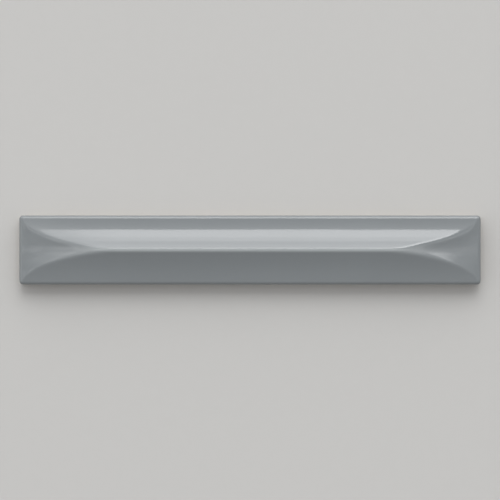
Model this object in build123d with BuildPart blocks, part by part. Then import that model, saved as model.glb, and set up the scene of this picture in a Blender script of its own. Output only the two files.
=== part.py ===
from build123d import *

import os
from math import asin, atan2, cos, hypot, sin

# A slim relief wall tile: one pressed and fired ceramic piece, glazed face up.
#
# A long crest runs down the middle of the face. Two hollow long faces rise to it from
# the long edges, and a fan-shaped scoop rises to each end of it from the short edges.
# Where a scoop meets the long faces, two soft hips run from the end of the crest to
# the corners. A narrow flat land and a rounded rim frame the relief. Below a straight
# band the sides narrow to the back, which has shallow keying channels for adhesive.
#
# Frame: millimetres, with the origin at the centre of the back, +X along the length
# and +Z out of the glazed face.

# Pressed body, measured over its straight band
length = 147.0
width = 22.0
edge_height = 6.0
band_height = 1.5
corner_round = 1.2
rim_round = 1.0
rim_land = 0.2
side_draft = 1.5
back_edge_round = 0.3

# Relief of the glazed face
relief = 2.8
long_face_radius = 38.0
scoop_length = 25.0
scoop_radius = 7.0
crest_round = 2.0

# Keying channels in the back
channel_count = 4
channel_width = 3.0
channel_pitch = 4.7
channel_depth = 0.5
channel_end_margin = 7.0
channel_wall_draft = 30.0

# The relief block is made this much bigger all round, and is trimmed once it is soft
overrun = 3.0

# The relief stands on the rectangle inside the rim and its land
face_length = length - 2 * (rim_round + rim_land)
face_width = width - 2 * (rim_round + rim_land)
half_face = face_width / 2
crest_height = edge_height + relief

# Centre of the round that hollows a long face from the land up to the crest
rise_angle = atan2(relief, half_face)
land_angle = rise_angle - asin(hypot(half_face, relief) / 2 / long_face_radius)
round_y = half_face + long_face_radius * sin(land_angle)
round_z = edge_height + long_face_radius * cos(land_angle)


def scoop_section(end, run):
    """Section across a scoop's cutter, a run in from the foot of the scoop.

    The cutter's floor is level at the foot. Further in it lies higher and curls up in
    an ever tighter parabola, with the scoop's radius where it meets the crest.
    """
    share = run / scoop_length
    half_cutter = half_face + 2 * overrun
    valley = edge_height + share * relief
    curl = share * half_cutter**2 / (2 * scoop_radius)
    ceiling = crest_height + half_cutter**2 / scoop_radius
    with BuildSketch(Plane.YZ.offset(end * (face_length / 2 - run))) as section:
        with BuildLine():
            floor = Bezier(
                (-half_cutter, valley + curl),
                (0, valley - curl),
                (half_cutter, valley + curl),
            )
            Polyline(
                floor @ 1,
                (half_cutter, ceiling),
                (-half_cutter, ceiling),
                floor @ 0,
            )
        make_face()
    return section.sketch


with BuildPart() as relief_block:
    with BuildSketch(Plane.XY):
        Rectangle(face_length + 2 * overrun, face_width + 2 * overrun)
    extrude(amount=crest_height)

    # The two hollow long faces
    with BuildSketch(Plane.YZ):
        with Locations((round_y, round_z), (-round_y, round_z)):
            Circle(long_face_radius)
    extrude(amount=length, both=True, mode=Mode.SUBTRACT)

    # The scoop at each end of the crest
    for end in (1, -1):
        loft(
            [scoop_section(end, -2 * overrun), scoop_section(end, scoop_length + overrun)],
            ruled=True,
            mode=Mode.SUBTRACT,
        )

    # Soft crest and hips, rounded while the hips still run out past the corners
    creases = [
        edge
        for edge in relief_block.edges()
        if abs((edge @ 0.5).X) < face_length / 2
        and abs((edge @ 0.5).Y) < half_face
        and (edge @ 0.5).Z > edge_height
    ]
    fillet(creases, crest_round)

    # Trim to a foot that lies just under the land
    with BuildSketch(Plane.XY):
        Rectangle(face_length + rim_land, face_width + rim_land)
    extrude(amount=crest_height, mode=Mode.INTERSECT)

with BuildPart() as tile:
    # Pressed body: straight band up to the land, drafted sides down to the back
    with BuildSketch(Plane.XY.offset(edge_height - band_height)) as outline:
        RectangleRounded(length, width, corner_round)
    extrude(amount=band_height)
    extrude(outline.sketch, amount=band_height - edge_height, taper=side_draft)
    fillet(tile.faces().sort_by(Axis.Z)[-1].edges(), rim_round)
    fillet(tile.faces().sort_by(Axis.Z)[0].edges(), back_edge_round)

    # The relief rises from the land
    add(relief_block.part)

    # Keying channels with sloping walls, sunk into the back
    with BuildSketch(Plane.XY):
        with GridLocations(0, channel_pitch, 1, channel_count):
            SlotOverall(length - 2 * channel_end_margin, channel_width)
    extrude(amount=channel_depth, taper=channel_wall_draft, mode=Mode.SUBTRACT)

tile.part.label = "tile"

os.makedirs("parts", exist_ok=True)
export_step(tile.part, "parts/tile.step")
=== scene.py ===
from math import pi, radians, tan

import bmesh
import bpy
from bpy.props import FloatProperty, FloatVectorProperty, IntProperty, PointerProperty
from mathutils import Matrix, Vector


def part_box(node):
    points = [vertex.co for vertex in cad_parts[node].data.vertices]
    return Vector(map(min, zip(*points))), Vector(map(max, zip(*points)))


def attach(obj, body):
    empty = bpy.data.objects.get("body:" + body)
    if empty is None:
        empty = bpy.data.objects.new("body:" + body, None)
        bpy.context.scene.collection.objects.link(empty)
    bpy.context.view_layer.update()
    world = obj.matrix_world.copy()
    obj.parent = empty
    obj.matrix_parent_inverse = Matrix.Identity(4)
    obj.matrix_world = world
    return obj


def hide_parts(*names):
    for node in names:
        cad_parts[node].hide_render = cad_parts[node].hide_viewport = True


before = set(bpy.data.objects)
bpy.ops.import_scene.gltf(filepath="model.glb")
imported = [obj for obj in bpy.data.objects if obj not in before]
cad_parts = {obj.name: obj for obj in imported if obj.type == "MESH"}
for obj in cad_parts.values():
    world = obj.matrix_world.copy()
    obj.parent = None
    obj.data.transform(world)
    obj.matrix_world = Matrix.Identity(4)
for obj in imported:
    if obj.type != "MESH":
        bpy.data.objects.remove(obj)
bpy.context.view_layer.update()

# A slim glazed relief wall tile, lying on its back on a pale floor and seen from
# straight above. Lengths are metres, +X is along the tile and +Z out of its face.

bl_info = {
    "name": "Relief wall tile",
    "version": (1, 0, 0),
    "blender": (4, 5, 0),
    "location": "3D View > Sidebar > Tile",
    "description": "Makes a glazed relief wall tile and the stage that it is seen on",
    "category": "Add Mesh",
}

MM = 0.001
TILE_LOW, TILE_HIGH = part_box("tile")

# Rows of the face's mesh from its edge to its middle, in zones of like fineness
RIM_ROWS = 8
LAND_ROWS = 1
SCOOP_ROWS = 140
MIDDLE_ROWS = 60
SLOPE_ROWS = 40
CREST_ROWS = 14
SCOOP_ZONE = 28 * MM
CREST_ZONE = 2 * MM

# Rows of a side's mesh from the rim down to the back
SIDE_ROWS = 20
BACK_EDGE_ROWS = 4
CHANNEL_END_POINTS = 10

# The end of the glaze on the sides: the height over which the sides step back to the
# bare body, the height over which the finish changes, and how finely the line wanders
GLAZE_BEAD = 0.3 * MM
FINISH_CHANGE = 0.15 * MM
WANDERS_PER_METRE = 90.0

# Slow waves in the fired face: how many to the metre along the tile, how much finer
# they are across it, and the level at which the noise is cut
WAVES_PER_METRE = 55.0
WAVE_SQUEEZE = 1.6
WAVE_LEVEL = 0.37

# A soft minimum of two equal values lies below them by its softness divided by this
MELT = 6.0

# Where the glaze is drawn paler: most of all on the crest, over a band that is wider than
# the melt of the long faces by the spread. The overrun, the reach and the width carry it
# over the end of the crest, as parts of the softnesses there. The next two are its
# strength on the hips and on the rim, and the last is how far the colour then changes.
CREST_PALE_SPREAD = 2.5
CREST_PALE_OVERRUN = 0.6
CREST_END_REACH = 1.3
CREST_END_WIDTH = 1.5
HIP_PALING = 0.08
RIM_PALING = 0.15
PALE_COLOUR_SHARE = 0.65

# Roughness of the bare body and how much less of it the glaze has, the depth of the
# orange peel in the glaze, and the depth of the grain in the bare body
BARE_ROUGHNESS = 0.86
GLAZE_GLOSS = 0.80
GLAZE_IOR = 1.52
PEEL_DEPTH = 0.0012 * MM
GRAIN_DEPTH = 0.05 * MM

# Soft lights above the tile. Each hangs a step below the one before, because lights at
# one height would hide each other. Its power is its area times its radiance times the
# watts for one unit of both.
LIGHT_HEIGHT = 2.5
LIGHT_STEP = 0.002
UNIT_WATTS = 4.0

# Each light is named for the place on the tile where it shows, or for what it stands
# for. The numbers are degrees from straight above, first along the tile and then across
# it, and the radiance.
SOFTBOXES = (
    ("window_low", -3.3, 20, 26.2, 34, 0.95),
    ("window_low_left", -3.5, 20, 26.2, 34, 1.35),
    ("window_low_wide", -20, 20, 26.2, 34, 1.55),
    ("window_middle", -3.3, 20, 34, 38, 0.75),
    ("window_middle_left", -3.5, 20, 34, 38, 1.05),
    ("window_middle_wide", -20, 20, 34, 38, 1.2),
    ("window_bar", -20, 20, 38, 42, 1.9),
    ("window_high", -20, 20, 42, 60, 2.35),
    ("edge_right", 4.4, 7.5, 26.5, 46, 1.2),
    ("over_crest", -4.4, 4.4, -8, 9, 1.2),
    ("crest_end_left", -9, -4.4, -5, 5, 0.85),
    ("crest_end_right", 4.4, 9, -5, 5, 0.75),
    ("crest_foot_left", -15, -9, -3, 4, 0.6),
    ("crest_foot_right", 9, 14.5, -3, 4, 0.4),
    ("crest_glow_left", -14.5, -4.4, -10, 9, 0.15),
    ("crest_glow_right", 4.4, 14.5, -8, 9, 0.12),
    ("beside_left", -15, -4.4, -7, 26.2, 0.2),
    ("hip_left", -11, -3.6, 5, 26.2, 0.5),
    ("scoop_left_inner", -16.1, -15, -8, 3, 1.0),
    ("scoop_left_middle", -16.25, -15, -10, 14, 0.5),
    ("scoop_left_upper", -16.6, -15, -12, -2, 0.35),
    ("scoop_left_low", -16.8, -15.5, 3.5, 13, 0.9),
    ("scoop_left_foot", -17.4, -15.5, 6, 17, 0.45),
    ("scoop_left_hip", -17.6, -16.6, 10, 17, 0.6),
    ("scoop_left_outer", -20.5, -17.5, 6, 20, 0.35),
    ("scoop_left_far", -22.5, -17, -2, 16, 0.2),
    ("scoop_left_high", -24, -15, -26, -5, 0.2),
    ("scoop_right", 15, 17.3, -2, 12, 0.4),
    ("scoop_right_upper", 15, 17.3, -12, -2, 0.15),
    ("scoop_right_inner", 14, 16.0, -6, 6, 0.75),
    ("scoop_right_outer", 17.3, 22, -5, 20, 0.2),
    ("streak_inner", 15.9, 16.3, 3, 12, 1.6),
    ("streak_first", 16.3, 16.75, 6.8, 14, 2.6),
    ("streak_second", 16.75, 17.25, 10.3, 17, 2.6),
    ("streak_third", 17.25, 17.9, 13.8, 20, 2.4),
    ("streak_fourth", 17.9, 18.8, 17, 21, 1.6),
    ("streak_edge_first", 16.3, 17, 5.5, 16, 0.9),
    ("streak_edge_second", 17, 17.8, 8.5, 18, 0.9),
    ("streak_edge_third", 17.8, 18.8, 11.5, 19, 0.9),
    ("streak_edge_fourth", 18.8, 19.8, 14, 19.5, 0.7),
    ("rim_left", -72, -30, -10, 30, 0.4),
)

# Light from all round: its level straight above, how it leans towards each axis, and
# how much it rises near the windows
WORLD_LEVEL = 0.64
WORLD_LEAN_X = -0.08
WORLD_LEAN_Y = 0.30
WORLD_RISE = 1.2

# Where the rise begins and how wide it is, as the part across the tile of a direction of
# length one. Beside the tile it begins later than over it, by a delay that grows with
# the direction's part along the tile.
RISE_START = 0.29
RISE_WIDTH = 0.22
RISE_DELAY = 0.15
DELAY_START = 0.08
DELAY_WIDTH = 0.06

# Half the floor's side, and how far in from the tile's edge the floor's opening starts
FLOOR_REACH = 4.0
HIDDEN_MARGIN = 1.2 * MM

SHARP_ANGLE = radians(35)
WELD = 0.001 * MM
TINY = 1e-9


class Flow:
    """One output of a node, which can be used in a formula as if it were a number."""

    def __init__(self, socket):
        self.socket = socket
        self.tree = socket.id_data

    def __add__(self, other):
        return maths(self.tree, "ADD", self, other)

    def __radd__(self, other):
        return maths(self.tree, "ADD", other, self)

    def __sub__(self, other):
        return maths(self.tree, "SUBTRACT", self, other)

    def __rsub__(self, other):
        return maths(self.tree, "SUBTRACT", other, self)

    def __mul__(self, other):
        return maths(self.tree, "MULTIPLY", self, other)

    def __rmul__(self, other):
        return maths(self.tree, "MULTIPLY", other, self)

    def __truediv__(self, other):
        return maths(self.tree, "DIVIDE", self, other)


def plug(socket, value):
    """Links a flow to a socket, or sets the socket to a plain value."""
    if isinstance(value, Flow):
        value.tree.links.new(value.socket, socket)
    else:
        socket.default_value = value


def add_node(tree, kind, inputs=None, **settings):
    """A new node with its settings made and its inputs plugged, by name or by number."""
    made = tree.nodes.new(kind)
    for name, value in settings.items():
        setattr(made, name, value)
    for key, value in (inputs or {}).items():
        plug(made.inputs[key], value)
    return made


def maths(tree, operation, *values):
    """The result of one sum, as a flow."""
    made = add_node(tree, "ShaderNodeMath", dict(enumerate(values)), operation=operation)
    return Flow(made.outputs[0])


def call(operation):
    """A function of flows that puts one sum into their tree."""

    def sum_of(first, *rest):
        return maths(first.tree, operation, first, *rest)

    return sum_of


root = call("SQRT")
size_of = call("ABSOLUTE")
sign_of = call("SIGN")
sine = call("SINE")
cosine = call("COSINE")
tangent = call("TANGENT")
arcsine = call("ARCSINE")
arctangent = call("ARCTAN2")
least = call("MINIMUM")
greatest = call("MAXIMUM")
soft_least = call("SMOOTH_MIN")
soft_greatest = call("SMOOTH_MAX")


def share_of(value):
    """The value held between nought and one."""
    return least(greatest(value, 0.0), 1.0)


def eased(value):
    """The value held between nought and one, with soft ends."""
    held = share_of(value)
    return held * held * (3.0 - 2.0 * held)


def split(flow):
    """The three parts of a vector."""
    parts = add_node(flow.tree, "ShaderNodeSeparateXYZ", {0: flow})
    return [Flow(parts.outputs[i]) for i in range(3)]


def joined(tree, x, y, z):
    """A vector from its three parts."""
    made = add_node(tree, "ShaderNodeCombineXYZ", {0: x, 1: y, 2: z})
    return Flow(made.outputs[0])


def noise(tree, vector, scale, detail=2.0):
    """Smooth noise between nought and one, with so many waves to the metre."""
    made = add_node(
        tree,
        "ShaderNodeTexNoise",
        {"Vector": vector, "Scale": scale, "Detail": detail, "Roughness": 0.5},
        noise_dimensions="3D",
    )
    return Flow(made.outputs[0])


class TileSizes(bpy.types.PropertyGroup):
    """The tile's sizes, which are the inputs of its node tree too."""

    length: FloatProperty(
        name="Length",
        description="Length over the straight band under the rim",
        default=TILE_HIGH.x - TILE_LOW.x,
        unit="LENGTH",
    )
    width: FloatProperty(
        name="Width",
        description="Width over the straight band under the rim",
        default=TILE_HIGH.y - TILE_LOW.y,
        unit="LENGTH",
    )
    edge_height: FloatProperty(
        name="Edge height",
        description="Height of the land inside the rim above the back",
        default=6.0 * MM,
        unit="LENGTH",
    )
    band_height: FloatProperty(
        name="Band height",
        description="Height of the straight band, from the land down",
        default=1.5 * MM,
        unit="LENGTH",
    )
    corner_round: FloatProperty(
        name="Corner round",
        description="Radius of the outline's corners",
        default=1.2 * MM,
        unit="LENGTH",
    )
    rim_round: FloatProperty(
        name="Rim round",
        description="Radius of the rounded rim",
        default=1.0 * MM,
        unit="LENGTH",
    )
    rim_land: FloatProperty(
        name="Rim land",
        description="Width of the land between the rim and the relief",
        default=0.03 * MM,
        unit="LENGTH",
    )
    back_edge_round: FloatProperty(
        name="Back edge round",
        description="Radius of the edge round the back",
        default=0.3 * MM,
        unit="LENGTH",
    )
    side_draft: FloatProperty(
        name="Side draft",
        description="Lean of the sides below the band",
        default=radians(1.5),
        unit="ROTATION",
    )
    relief: FloatProperty(
        name="Relief",
        description="Height of the crest above the land before it is softened",
        default=2.8 * MM,
        unit="LENGTH",
    )
    long_face_radius: FloatProperty(
        name="Long face radius",
        description="Radius of the hollow long faces",
        default=38.0 * MM,
        unit="LENGTH",
    )
    scoop_length: FloatProperty(
        name="Scoop length",
        description="Length of a scoop from its foot to the end of the crest",
        default=25.0 * MM,
        unit="LENGTH",
    )
    scoop_radius: FloatProperty(
        name="Scoop radius",
        description="Radius across a scoop where it meets the end of the crest",
        default=7.0 * MM,
        unit="LENGTH",
    )
    crest_softness: FloatProperty(
        name="Crest softness",
        description="Depth over which the two long faces melt together in the crest",
        default=1.1 * MM,
        unit="LENGTH",
    )
    hip_softness: FloatProperty(
        name="Hip softness",
        description="Depth over which a scoop and the long faces melt together in the hips",
        default=0.70 * MM,
        unit="LENGTH",
    )
    hip_rise: FloatProperty(
        name="Hip rise",
        description="Height above the land at which the hips reach their full softness",
        default=0.8 * MM,
        unit="LENGTH",
    )
    land_lean: FloatProperty(
        name="Land lean",
        description="Slope of the land between the relief and the rim, as rise over run",
        default=0.10,
        subtype="FACTOR",
        min=0.0,
        max=1.0,
    )
    foot_softness: FloatProperty(
        name="Foot softness",
        description="Depth over which glaze fills the foot of the relief",
        default=0.02 * MM,
        unit="LENGTH",
    )
    waviness: FloatProperty(
        name="Waviness",
        description="Depth of the slow waves in the fired face",
        default=0.03 * MM,
        unit="LENGTH",
    )
    glaze_line: FloatProperty(
        name="Glaze line",
        description="Mean height on the sides where the glaze ends",
        default=2.4 * MM,
        unit="LENGTH",
    )
    glaze_run: FloatProperty(
        name="Glaze run",
        description="How far the end of the glaze wanders up and down",
        default=1.6 * MM,
        unit="LENGTH",
    )
    glaze_thickness: FloatProperty(
        name="Glaze thickness",
        description="How far the glaze stands proud of the bare sides",
        default=0.1 * MM,
        unit="LENGTH",
    )
    channel_width: FloatProperty(
        name="Channel width",
        description="Width of a channel at its mouth",
        default=3.0 * MM,
        unit="LENGTH",
    )
    channel_pitch: FloatProperty(
        name="Channel pitch",
        description="Distance from one channel to the next",
        default=4.7 * MM,
        unit="LENGTH",
    )
    channel_depth: FloatProperty(
        name="Channel depth",
        description="Depth of the channels in the back",
        default=0.5 * MM,
        unit="LENGTH",
    )
    channel_end_margin: FloatProperty(
        name="Channel end margin",
        description="Distance from the end of a channel to the end of the tile",
        default=7.0 * MM,
        unit="LENGTH",
    )
    channel_wall_draft: FloatProperty(
        name="Channel wall draft",
        description="Lean of the channels' walls",
        default=radians(30.0),
        unit="ROTATION",
    )
    channel_count: IntProperty(
        name="Channel count",
        description="Number of channels side by side in the back",
        default=4,
        min=1,
    )


class TileFinish(bpy.types.PropertyGroup):
    """The colours of the glaze and of the bare body."""

    glaze: FloatVectorProperty(
        name="Glaze",
        description="Colour of the glaze on the face",
        default=(0.170, 0.185, 0.193),
        subtype="COLOR",
        min=0.0,
        max=1.0,
    )
    # The glaze's paler colour, drawn on the crest, the hips and the rim
    pale_glaze: FloatVectorProperty(
        name="Pale glaze",
        description="Colour of the glaze where it is drawn thin over the crest, hips and rim",
        default=(0.30, 0.32, 0.325),
        subtype="COLOR",
        min=0.0,
        max=1.0,
    )
    bare_body: FloatVectorProperty(
        name="Bare body",
        description="Colour of the unglazed body on the lower sides and the back",
        default=(0.47, 0.42, 0.36),
        subtype="COLOR",
        min=0.0,
        max=1.0,
    )


class StageSetup(bpy.types.PropertyGroup):
    """The floor's colour, and how the camera looks at the tile."""

    floor: FloatVectorProperty(
        name="Floor",
        description="Colour of the floor",
        default=(0.46, 0.455, 0.445),
        subtype="COLOR",
        min=0.0,
        max=1.0,
    )
    frame_share: FloatProperty(
        name="Frame share",
        description="Share of the picture's width that the tile fills",
        default=0.92,
        subtype="FACTOR",
        min=0.1,
        max=1.0,
    )
    lens: FloatProperty(
        name="Lens",
        description="Focal length of the camera in millimetres",
        default=400.0,
        unit="CAMERA",
    )


def own_properties(group):
    """The properties that a group adds to those that every group has."""
    common = ("rna_type", "name")
    return [prop for prop in group.bl_rna.properties if prop.identifier not in common]


def interface_of(tree, sizes):
    """Gives the tree one named input for each size, and a material."""
    face = tree.interface
    for prop in own_properties(sizes):
        kind = "NodeSocketInt" if prop.type == "INT" else "NodeSocketFloat"
        face.new_socket(prop.name, in_out="INPUT", socket_type=kind)
    face.new_socket("Material", in_out="INPUT", socket_type="NodeSocketMaterial")
    face.new_socket("Mesh", in_out="OUTPUT", socket_type="NodeSocketGeometry")


def outward(x, y, half_length, half_width, radius):
    """Square to a rounded rectangle's outline: the nearest point of the rectangle inside
    its rounding, and the direction out of it, which is nought well inside."""
    core_x, core_y = half_length - radius, half_width - radius
    over_x, over_y = greatest(size_of(x) - core_x, 0.0), greatest(size_of(y) - core_y, 0.0)
    reach = greatest(root(over_x * over_x + over_y * over_y), TINY)
    core = (sign_of(x) * least(size_of(x), core_x), sign_of(y) * least(size_of(y), core_y))
    return core, (sign_of(x) * (over_x / reach), sign_of(y) * (over_y / reach))


def outline_point(tree, x, y, z, inset, half_length, half_width, radius):
    """A point of a rounded rectangle's border, moved square to the outline to an inset."""
    core, out = outward(x, y, half_length, half_width, radius)
    reach = greatest(radius - inset, 0.0)
    return joined(tree, core[0] + out[0] * reach, core[1] + out[1] * reach, z)


def inset_of(rows, rim_round, zones):
    """How far in from the edge a row of the face lies: round the rim, then zone by zone."""
    inset = rim_round * (1.0 - cosine(share_of(rows / RIM_ROWS) * (pi / 2)))
    start = RIM_ROWS
    for count, extent in zones:
        inset = inset + share_of((rows - start) / count) * extent
        start += count
    return inset


def placed(tree, mesh, position=None, offset=None, selection=None):
    """The mesh with its points moved to a position, or by an offset."""
    inputs = {"Geometry": mesh}
    if position is not None:
        inputs["Position"] = position
    if offset is not None:
        inputs["Offset"] = offset
    if selection is not None:
        inputs["Selection"] = selection
    return Flow(add_node(tree, "GeometryNodeSetPosition", inputs).outputs[0])


def blank_shell(tree, size):
    """The pressed body with a flat face: rim, band and drafted sides, open at the back."""
    rows_x = RIM_ROWS + LAND_ROWS + SCOOP_ROWS + MIDDLE_ROWS
    rows_y = RIM_ROWS + LAND_ROWS + SLOPE_ROWS + CREST_ROWS
    rows_z = SIDE_ROWS + BACK_EDGE_ROWS
    cube = add_node(
        tree,
        "GeometryNodeMeshCube",
        {
            "Size": (2.0, 2.0, 2.0),
            "Vertices X": 2 * rows_x + 1,
            "Vertices Y": 2 * rows_y + 1,
            "Vertices Z": rows_z + 1,
        },
    )
    normal = Flow(add_node(tree, "GeometryNodeInputNormal").outputs[0])
    under = maths(tree, "LESS_THAN", split(normal)[2], -0.5)
    opened = add_node(
        tree,
        "GeometryNodeDeleteGeometry",
        {"Geometry": Flow(cube.outputs["Mesh"]), "Selection": under},
        domain="FACE",
    )

    place = Flow(add_node(tree, "GeometryNodeInputPosition").outputs[0])
    across, along, up = split(place)
    half_length, half_width = size["Length"] / 2.0, size["Width"] / 2.0
    rim, land = size["Rim round"], size["Rim land"]
    inset_x = inset_of(
        (1.0 - size_of(across)) * rows_x,
        rim,
        [
            (LAND_ROWS, land),
            (SCOOP_ROWS, SCOOP_ZONE),
            (MIDDLE_ROWS, half_length - rim - land - SCOOP_ZONE),
        ],
    )
    inset_y = inset_of(
        (1.0 - size_of(along)) * rows_y,
        rim,
        [
            (LAND_ROWS, land),
            (SLOPE_ROWS, half_width - rim - land - CREST_ZONE),
            (CREST_ROWS, CREST_ZONE),
        ],
    )
    inset = least(inset_x, inset_y)

    band_top = size["Edge height"] - rim
    rows_down = (1.0 - up) * (rows_z / 2)
    side_drop = share_of(rows_down / SIDE_ROWS) * (band_top - size["Back edge round"])
    turn = share_of((rows_down - SIDE_ROWS) / BACK_EDGE_ROWS) * (pi / 2)
    side_z = band_top - side_drop - size["Back edge round"] * sine(turn)
    below_band = greatest(size["Edge height"] - size["Band height"] - side_z, 0.0)
    side_inset = below_band * tangent(size["Side draft"])
    side_inset = side_inset + size["Back edge round"] * (1.0 - cosine(turn))

    into_rim = rim - least(inset, rim)
    rim_rise = root(greatest(rim * rim - into_rim * into_rim, 0.0))
    point = outline_point(
        tree,
        sign_of(across) * (half_length - inset_x),
        sign_of(along) * (half_width - inset_y),
        side_z + rim_rise,
        inset + side_inset,
        half_length,
        half_width,
        size["Corner round"],
    )
    return placed(tree, Flow(opened.outputs[0]), position=point)


def relief_fields(tree, size):
    """The relief's height over the land, and how much paler the glaze is where it turns."""
    x, y, z = split(Flow(add_node(tree, "GeometryNodeInputPosition").outputs[0]))
    inside = size["Rim round"] + size["Rim land"]
    half_face = size["Width"] / 2.0 - inside
    relief, radius = size["Relief"], size["Long face radius"]

    chord = root(half_face * half_face + relief * relief)
    land_angle = arctangent(relief, half_face) - arcsine(chord / (2.0 * radius))
    centre_y = half_face + radius * sine(land_angle)
    centre_z = radius * cosine(land_angle)
    long_faces = []
    for side in (1.0, -1.0):
        off = centre_y - side * y
        long_faces.append(centre_z - root(greatest(radius * radius - off * off, 0.0)))
    crest = soft_least(long_faces[0], long_faces[1], size["Crest softness"])

    run = size["Length"] / 2.0 - inside - size_of(x)
    share = run / size["Scoop length"]
    scoop = share * (relief + y * y / (2.0 * size["Scoop radius"]))

    lower = least(crest, scoop)
    hip_softness = size["Hip softness"] * eased(lower / size["Hip rise"]) + TINY
    hips = soft_least(crest, scoop, hip_softness)

    # The land leans outwards and runs on down the rim, so that none of it is level
    up_rim = share_of((z - size["Edge height"]) / size["Rim round"] + 1.0)
    foot = least(run, half_face - size_of(y)) * size["Land lean"] * up_rim
    height = soft_greatest(hips, foot, size["Foot softness"])

    # The crest's turn is full where the long faces cross, and fades into the scoop
    sunk = least(long_faces[0], long_faces[1]) - crest
    above = scoop - crest
    crest_turn = sunk / (size["Crest softness"] / MELT) * CREST_PALE_SPREAD
    crest_turn = crest_turn * share_of(above / size["Hip softness"] + CREST_PALE_OVERRUN)

    # The end of the crest is full too, where all three surfaces meet
    crest_end = share_of(1.0 - size_of(above) / (size["Hip softness"] * CREST_END_REACH))
    apart = size_of(long_faces[0] - long_faces[1])
    apart = apart / (size["Crest softness"] * CREST_END_WIDTH)
    crest_turn = greatest(crest_turn, crest_end * share_of(1.0 - apart))

    hip_turn = (lower - hips) / (size["Hip softness"] / MELT)
    return height, greatest(share_of(crest_turn), share_of(hip_turn) * HIP_PALING)


def slow_waves(tree, depth):
    """Slow, shallow waves that only go down from nought, finer across than along."""
    x, y, _ = split(Flow(add_node(tree, "GeometryNodeInputPosition").outputs[0]))
    vector = joined(tree, x, y * WAVE_SQUEEZE, WAVE_LEVEL)
    return (noise(tree, vector, WAVES_PER_METRE, 1.0) - 1.0) * depth


def glaze_level(tree, size):
    """Height above the wandering line on the sides where the glaze ends."""
    place = Flow(add_node(tree, "GeometryNodeInputPosition").outputs[0])
    x, y, z = split(place)
    vector = joined(tree, x, y, 0.0)
    wander = noise(tree, vector, WANDERS_PER_METRE, 3.0) - 0.5
    return z - (size["Glaze line"] + wander * size["Glaze run"])


def channel_slot(tree, length, width):
    """A closed curve with round ends, for the mouth of a channel."""
    bar = add_node(
        tree,
        "GeometryNodeCurvePrimitiveQuadrilateral",
        {"Width": length, "Height": width},
        mode="RECTANGLE",
    )
    rounded = add_node(
        tree,
        "GeometryNodeFilletCurve",
        {
            "Curve": Flow(bar.outputs[0]),
            "Radius": width / 2.0,
            "Limit Radius": True,
            "Count": CHANNEL_END_POINTS,
        },
        mode="POLY",
    )
    return Flow(rounded.outputs[0])


def back_with_channels(tree, size, rim_curve):
    """The flat back, holed by the channels' mouths, and the pans sunk into it."""
    length = size["Length"] - 2.0 * size["Channel end margin"]
    width = size["Channel width"]
    mouth = channel_slot(tree, length, width)
    blank = add_node(tree, "GeometryNodeFillCurve", {"Curve": mouth}, mode="NGONS")
    sunk = add_node(
        tree,
        "GeometryNodeExtrudeMesh",
        {
            "Mesh": Flow(blank.outputs[0]),
            "Offset Scale": size["Channel depth"],
            "Individual": False,
        },
        mode="FACES",
    )
    x, y, _ = split(Flow(add_node(tree, "GeometryNodeInputPosition").outputs[0]))
    floor_point = outline_point(
        tree,
        x,
        y,
        size["Channel depth"],
        size["Channel depth"] * tangent(size["Channel wall draft"]),
        length / 2.0,
        width / 2.0,
        width / 2.0,
    )
    pan = placed(
        tree,
        Flow(sunk.outputs["Mesh"]),
        position=floor_point,
        selection=Flow(sunk.outputs["Top"]),
    )

    first = (size["Channel count"] - 1.0) * size["Channel pitch"] / -2.0
    places = add_node(
        tree,
        "GeometryNodeMeshLine",
        {
            "Count": size["Channel count"],
            "Start Location": joined(tree, 0.0, first, 0.0),
            "Offset": joined(tree, 0.0, size["Channel pitch"], 0.0),
        },
        mode="OFFSET",
    )
    repeated = []
    for shape in (mouth, pan):
        spread = add_node(
            tree,
            "GeometryNodeInstanceOnPoints",
            {"Points": Flow(places.outputs[0]), "Instance": shape},
        )
        real = add_node(tree, "GeometryNodeRealizeInstances", {0: Flow(spread.outputs[0])})
        repeated.append(Flow(real.outputs[0]))

    loops = add_node(tree, "GeometryNodeJoinGeometry")
    for curve in (repeated[0], rim_curve):
        plug(loops.inputs[0], curve)
    border = Flow(loops.outputs[0])
    filled = add_node(tree, "GeometryNodeFillCurve", {"Curve": border}, mode="NGONS")
    return Flow(filled.outputs[0]), repeated[1]


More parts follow.
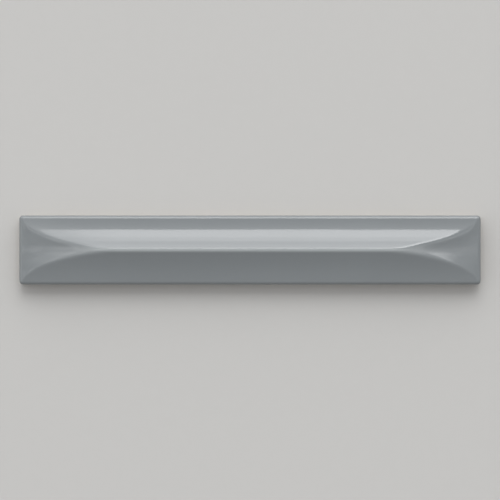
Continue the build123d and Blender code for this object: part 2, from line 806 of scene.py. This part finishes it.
def tile_tree(sizes):
    """The node tree that makes the whole tile from its sizes."""
    tree = bpy.data.node_groups.new("Relief tile", "GeometryNodeTree")
    interface_of(tree, sizes)
    given = add_node(tree, "NodeGroupInput")
    size = {socket.name: Flow(socket) for socket in given.outputs if socket.name}
    place = Flow(add_node(tree, "GeometryNodeInputPosition").outputs[0])
    x, y, z = split(place)

    # The relief rises from the flat face, with slow waves that fade out at the land
    height, turn = relief_fields(tree, size)
    wave = slow_waves(tree, size["Waviness"]) * eased(height / size["Hip rise"])
    shell = blank_shell(tree, size)
    shell = placed(tree, shell, offset=joined(tree, 0.0, 0.0, height + wave))

    # The bare sides stand back from the end of the glaze
    level = glaze_level(tree, size)
    bare = 1.0 - eased(level / GLAZE_BEAD + 0.5)
    half_length, half_width = size["Length"] / 2.0, size["Width"] / 2.0
    _, out = outward(x, y, half_length, half_width, size["Corner round"])
    back_off = bare * size["Glaze thickness"]
    retreat = joined(tree, 0.0 - out[0] * back_off, 0.0 - out[1] * back_off, 0.0)
    shell = placed(tree, shell, offset=retreat)

    # The open edge of the shell is the border of the back
    faces = Flow(add_node(tree, "GeometryNodeInputMeshEdgeNeighbors").outputs[0])
    open_edges = maths(tree, "COMPARE", faces, 1.0, 0.1)
    border = add_node(tree, "GeometryNodeMeshToCurve", {"Mesh": shell, "Selection": open_edges})
    back, pans = back_with_channels(tree, size, Flow(border.outputs[0]))
    whole = add_node(tree, "GeometryNodeJoinGeometry")
    for part in (pans, back, shell):
        plug(whole.inputs[0], part)
    welded = add_node(
        tree,
        "GeometryNodeMergeByDistance",
        {"Geometry": Flow(whole.outputs[0]), "Distance": WELD},
    )

    # The finish follows these two: where the glaze ends, and where it is drawn paler
    rim_drop = share_of((size["Edge height"] - z) / size["Rim round"])
    # The share of paler glaze colour on the crest, the hips and the rim
    paler = greatest(turn, sine(rim_drop * pi) * RIM_PALING)
    mesh = Flow(welded.outputs[0])
    for name, value in (("glaze_level", level), ("glaze_thin", paler)):
        stored = add_node(
            tree,
            "GeometryNodeStoreNamedAttribute",
            {"Geometry": mesh, "Name": name, "Value": value},
            data_type="FLOAT",
            domain="POINT",
        )
        mesh = Flow(stored.outputs[0])
    real = add_node(tree, "GeometryNodeRealizeInstances", {0: mesh})
    painted = add_node(
        tree,
        "GeometryNodeSetMaterial",
        {"Geometry": Flow(real.outputs[0]), "Material": size["Material"]},
    )
    result = add_node(tree, "NodeGroupOutput")
    plug(result.inputs[0], Flow(painted.outputs[0]))
    return tree


def grown(tree, sizes, material):
    """The tree's result as a plain mesh, evaluated once with the sizes set."""
    seed = bpy.data.objects.new("seed", bpy.data.meshes.new("seed"))
    bpy.context.scene.collection.objects.link(seed)
    modifier = seed.modifiers.new("Relief tile", "NODES")
    modifier.node_group = tree
    values = {prop.name: getattr(sizes, prop.identifier) for prop in own_properties(sizes)}
    values["Material"] = material
    for item in tree.interface.items_tree:
        if item.in_out == "INPUT":
            modifier[item.identifier] = values[item.name]
    graph = bpy.context.evaluated_depsgraph_get()
    mesh = bpy.data.meshes.new_from_object(seed.evaluated_get(graph))
    bpy.data.objects.remove(seed)
    if not mesh.polygons:
        raise RuntimeError("the node tree made no faces")
    return mesh


def face_outwards(mesh):
    """Turns every face outwards, and keeps the channels' and the back's edges crisp."""
    shape = bmesh.new()
    shape.from_mesh(mesh)
    bmesh.ops.recalc_face_normals(shape, faces=shape.faces)
    for face in shape.faces:
        face.smooth = True
    for edge in shape.edges:
        edge.smooth = edge.is_manifold and edge.calc_face_angle() < SHARP_ANGLE
    shape.to_mesh(mesh)
    shape.free()


def new_material(name):
    """An empty material with its shader and its output."""
    material = bpy.data.materials.new(name)
    material.use_nodes = True
    tree = material.node_tree
    tree.nodes.clear()
    shader = add_node(tree, "ShaderNodeBsdfPrincipled")
    output = add_node(tree, "ShaderNodeOutputMaterial")
    tree.links.new(shader.outputs[0], output.inputs["Surface"])
    return material, tree, shader


def mixed(tree, share, first, second):
    """The first colour melting into the second."""
    made = add_node(tree, "ShaderNodeMix", {0: share, 6: first, 7: second}, data_type="RGBA")
    return Flow(made.outputs[2])


def toned(tone, colour):
    """A colour made lighter or darker by a tone about one."""
    inputs = {0: colour, "Scale": tone}
    made = add_node(tone.tree, "ShaderNodeVectorMath", inputs, operation="SCALE")
    return Flow(made.outputs[0])


def mottle_group():
    """The uneven tone that clay, glaze and plaster share: broad clouds and a fine grain."""
    name = "Mottle"
    if name in bpy.data.node_groups:
        return bpy.data.node_groups[name]
    tree = bpy.data.node_groups.new(name, "ShaderNodeTree")
    face = tree.interface
    face.new_socket("Vector", in_out="INPUT", socket_type="NodeSocketVector")
    for title in ("Cloud Scale", "Cloud Depth", "Grain Scale", "Grain Depth"):
        face.new_socket(title, in_out="INPUT", socket_type="NodeSocketFloat")
    face.new_socket("Tone", in_out="OUTPUT", socket_type="NodeSocketFloat")
    face.new_socket("Grain", in_out="OUTPUT", socket_type="NodeSocketFloat")
    given = add_node(tree, "NodeGroupInput")
    value = {socket.name: Flow(socket) for socket in given.outputs if socket.name}
    cloud = noise(tree, value["Vector"], value["Cloud Scale"], 3.0) - 0.5
    grain = noise(tree, value["Vector"], value["Grain Scale"], 4.0) - 0.5
    tone = 1.0 + cloud * value["Cloud Depth"] + grain * value["Grain Depth"]
    result = add_node(tree, "NodeGroupOutput")
    plug(result.inputs["Tone"], tone)
    plug(result.inputs["Grain"], grain)
    return tree


def mottle(tree, cloud_scale, cloud_depth, grain_scale, grain_depth):
    """Tone and grain of the mottle on this material's object."""
    place = Flow(add_node(tree, "ShaderNodeTexCoord").outputs["Object"])
    made = add_node(tree, "ShaderNodeGroup", node_tree=mottle_group())
    for key, value in {
        "Vector": place,
        "Cloud Scale": cloud_scale,
        "Cloud Depth": cloud_depth,
        "Grain Scale": grain_scale,
        "Grain Depth": grain_depth,
    }.items():
        plug(made.inputs[key], value)
    return Flow(made.outputs["Tone"]), Flow(made.outputs["Grain"])


def stored_on(tree, name):
    """A value that the mesh carries from point to point."""
    made = add_node(tree, "ShaderNodeAttribute", attribute_name=name, attribute_type="GEOMETRY")
    return Flow(made.outputs["Fac"])


def glazed_stoneware(finish):
    """Glossy glaze above the wandering line on the sides, and the bare fired body below."""
    material, tree, shader = new_material("glazed_stoneware")
    glazed = eased(stored_on(tree, "glaze_level") / FINISH_CHANGE + 0.5)
    # Paler glaze colour on the crest, hips and rim, mixed in by the stored share
    paler = stored_on(tree, "glaze_thin") * PALE_COLOUR_SHARE
    glaze_tone, peel = mottle(
        tree, cloud_scale=45.0, cloud_depth=0.10, grain_scale=420.0, grain_depth=0.03
    )
    body_tone, grain = mottle(
        tree, cloud_scale=160.0, cloud_depth=0.16, grain_scale=2600.0, grain_depth=0.35
    )

    glaze = mixed(tree, paler, (*finish.glaze, 1.0), (*finish.pale_glaze, 1.0))
    body = toned(body_tone, finish.bare_body)
    plug(shader.inputs["Base Color"], mixed(tree, glazed, body, toned(glaze_tone, glaze)))
    plug(shader.inputs["Roughness"], BARE_ROUGHNESS - glazed * GLAZE_GLOSS)
    shader.inputs["IOR"].default_value = GLAZE_IOR

    height = glazed * peel * PEEL_DEPTH + (1.0 - glazed) * grain * GRAIN_DEPTH
    bump = add_node(tree, "ShaderNodeBump", {"Strength": 1.0, "Distance": 1.0, "Height": height})
    plug(shader.inputs["Normal"], Flow(bump.outputs[0]))
    return material


def floor_ring(reach, opening):
    """A level square with an opening in its middle, which the tile covers."""
    corners = []
    for half_x, half_y in ((reach, reach), opening):
        for turn_x, turn_y in ((-1, -1), (1, -1), (1, 1), (-1, 1)):
            corners.append((turn_x * half_x, turn_y * half_y, 0.0))
    mesh = bpy.data.meshes.new("floor")
    mesh.from_pydata(corners, [], [(0, 1, 5, 4), (1, 2, 6, 5), (2, 3, 7, 6), (3, 0, 4, 7)])
    return mesh


def plaster_floor(setup):
    """Pale matte floor that lets the tile's back be seen from below."""
    material, tree, shader = new_material("plaster_floor")
    tone, _ = mottle(
        tree, cloud_scale=6.0, cloud_depth=0.02, grain_scale=300.0, grain_depth=0.02
    )
    plug(shader.inputs["Base Color"], toned(tone, setup.floor))
    shader.inputs["Roughness"].default_value = 0.9
    clear = add_node(tree, "ShaderNodeBsdfTransparent")
    behind = add_node(tree, "ShaderNodeNewGeometry")
    either = add_node(tree, "ShaderNodeMixShader", {0: Flow(behind.outputs["Backfacing"])})
    tree.links.new(shader.outputs[0], either.inputs[1])
    tree.links.new(clear.outputs[0], either.inputs[2])
    output = next(node for node in tree.nodes if node.type == "OUTPUT_MATERIAL")
    tree.links.new(either.outputs[0], output.inputs["Surface"])
    return material


def softbox(height, name, x_from, x_to, y_from, y_to, radiance):
    """A soft level light at a height, between angles from straight above."""
    left, right = height * tan(radians(x_from)), height * tan(radians(x_to))
    front, back = height * tan(radians(y_from)), height * tan(radians(y_to))
    data = bpy.data.lights.new(name, "AREA")
    data.shape = "RECTANGLE"
    data.size = right - left
    data.size_y = back - front
    data.energy = UNIT_WATTS * radiance * data.size * data.size_y
    light = bpy.data.objects.new(name, data)
    light.location = ((left + right) / 2, (front + back) / 2, height)
    bpy.context.scene.collection.objects.link(light)


def studio_world():
    """Faint light from all round, which grows towards the windows and fades in front."""
    world = bpy.data.worlds.new("studio")
    world.use_nodes = True
    tree = world.node_tree
    x, y, _ = split(Flow(add_node(tree, "ShaderNodeTexCoord").outputs["Generated"]))
    level = WORLD_LEVEL + x * WORLD_LEAN_X + y * WORLD_LEAN_Y
    beside = eased((size_of(x) - DELAY_START) / DELAY_WIDTH)
    start = RISE_START + beside * RISE_DELAY
    level = level + eased((y - start) / RISE_WIDTH) * WORLD_RISE
    background = tree.nodes["Background"]
    background.inputs["Color"].default_value = (1.0, 1.0, 1.0, 1.0)
    plug(background.inputs["Strength"], level)
    return world


class TILE_OT_make_tile(bpy.types.Operator):
    """Make the glazed tile and let it stand for the plain solid"""

    bl_idname = "tile.make_tile"
    bl_label = "Make tile"

    def execute(self, context):
        scene = context.scene
        material = glazed_stoneware(scene.tile_finish)
        mesh = grown(tile_tree(scene.tile_sizes), scene.tile_sizes, material)
        face_outwards(mesh)
        tile = bpy.data.objects.new("glazed_tile", mesh)
        scene.collection.objects.link(tile)
        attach(tile, "root")
        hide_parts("tile")
        return {"FINISHED"}


class TILE_OT_make_stage(bpy.types.Operator):
    """Make the floor, the lights and the camera that looks straight down"""

    bl_idname = "tile.make_stage"
    bl_label = "Make stage"

    def execute(self, context):
        scene = context.scene
        setup = scene.stage_setup
        opening = (TILE_HIGH.x - HIDDEN_MARGIN, TILE_HIGH.y - HIDDEN_MARGIN)
        floor_mesh = floor_ring(FLOOR_REACH, opening)
        floor_mesh.materials.append(plaster_floor(setup))
        floor = bpy.data.objects.new("floor", floor_mesh)
        scene.collection.objects.link(floor)

        for place, light in enumerate(SOFTBOXES):
            softbox(LIGHT_HEIGHT - place * LIGHT_STEP, *light)
        scene.world = studio_world()

        data = bpy.data.cameras.new("camera")
        data.lens = setup.lens
        span = scene.tile_sizes.length / setup.frame_share
        camera = bpy.data.objects.new("camera", data)
        camera.location = (0.0, 0.0, span * data.lens / data.sensor_width)
        scene.collection.objects.link(camera)
        scene.camera = camera
        scene.view_settings.view_transform = "Standard"
        return {"FINISHED"}


class TILE_PT_panel(bpy.types.Panel):
    """Sizes, finish and stage of the tile"""

    bl_idname = "TILE_PT_panel"
    bl_label = "Relief wall tile"
    bl_space_type = "VIEW_3D"
    bl_region_type = "UI"
    bl_category = "Tile"

    def draw(self, context):
        scene = context.scene
        for group in (scene.tile_sizes, scene.tile_finish, scene.stage_setup):
            for prop in own_properties(group):
                self.layout.prop(group, prop.identifier)
        self.layout.operator("tile.make_tile")
        self.layout.operator("tile.make_stage")


CLASSES = (TileSizes, TileFinish, StageSetup, TILE_OT_make_tile, TILE_OT_make_stage, TILE_PT_panel)


def register():
    for cls in CLASSES:
        bpy.utils.register_class(cls)
    bpy.types.Scene.tile_sizes = PointerProperty(type=TileSizes)
    bpy.types.Scene.tile_finish = PointerProperty(type=TileFinish)
    bpy.types.Scene.stage_setup = PointerProperty(type=StageSetup)


def unregister():
    del bpy.types.Scene.stage_setup
    del bpy.types.Scene.tile_finish
    del bpy.types.Scene.tile_sizes
    for cls in reversed(CLASSES):
        bpy.utils.unregister_class(cls)


def main():
    register()
    bpy.ops.tile.make_tile()
    bpy.ops.tile.make_stage()


if __name__ == "__main__":
    main()
